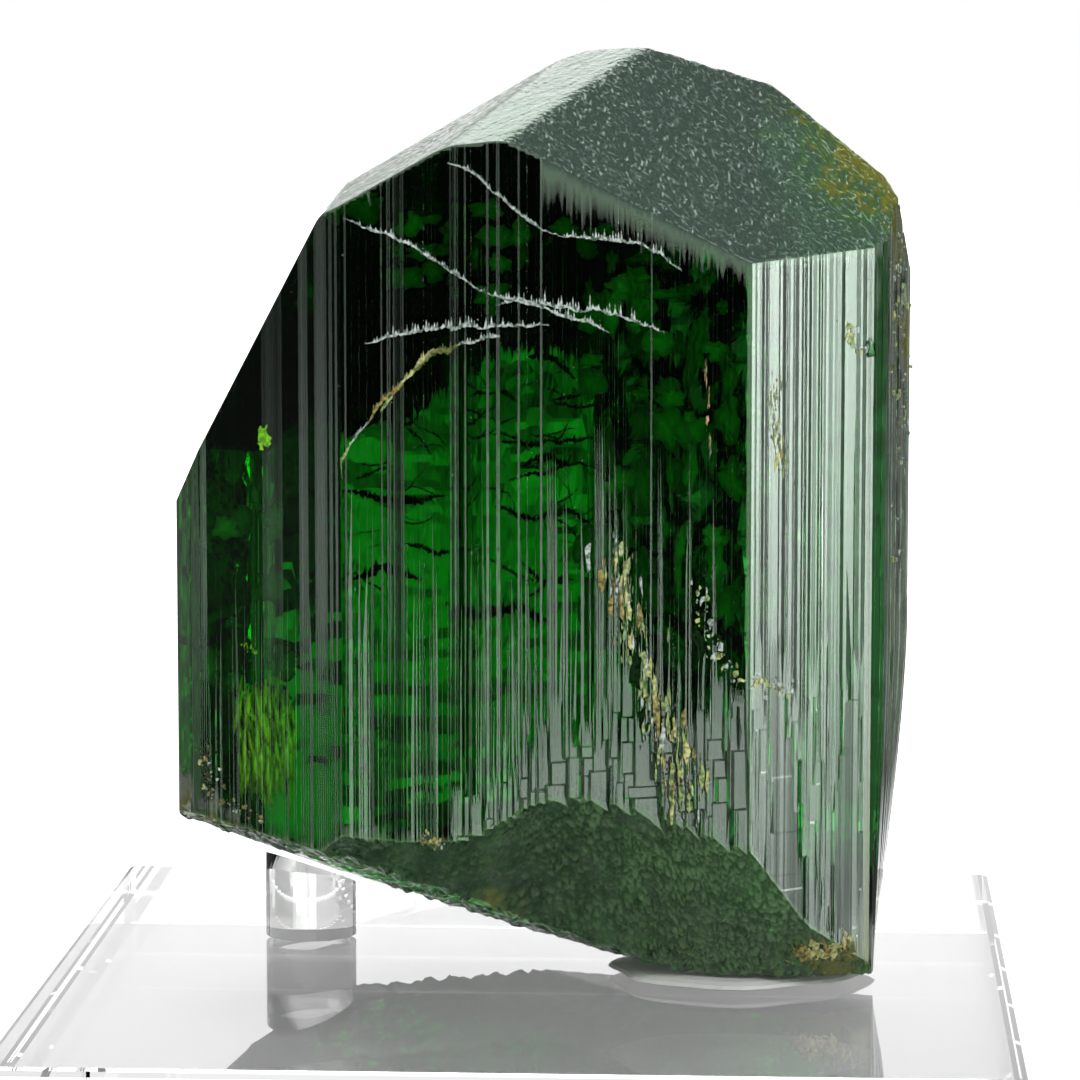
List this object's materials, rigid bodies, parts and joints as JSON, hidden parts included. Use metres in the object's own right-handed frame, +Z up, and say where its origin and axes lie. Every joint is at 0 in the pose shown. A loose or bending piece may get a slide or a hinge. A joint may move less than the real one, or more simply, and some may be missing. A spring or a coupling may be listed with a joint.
{
  "type": "tourmaline crystal on an acrylic stand",
  "caption": "Dark green striated tourmaline crystal held upright on a clear acrylic block by a short peg and pale putty.",
  "frame": {"origin": "centre of the acrylic block's underside", "axes": "+Z up, +X to the right of the crystal's broad front face, -Y out of that face, both along the block's sides"},
  "size_m": [0.066, 0.068, 0.0761],
  "materials": {
    "green_tourmaline": "glossy, striated, with frosted etched areas",
    "clear_acrylic": "polished",
    "pale_putty": "waxy, slightly translucent"
  },
  "bodies": {
    "root": {"tourmaline_crystal": "green_tourmaline", "display_base": "clear_acrylic", "support_peg": "clear_acrylic", "mounting_putty": "pale_putty"}
  },
  "joints": []
}
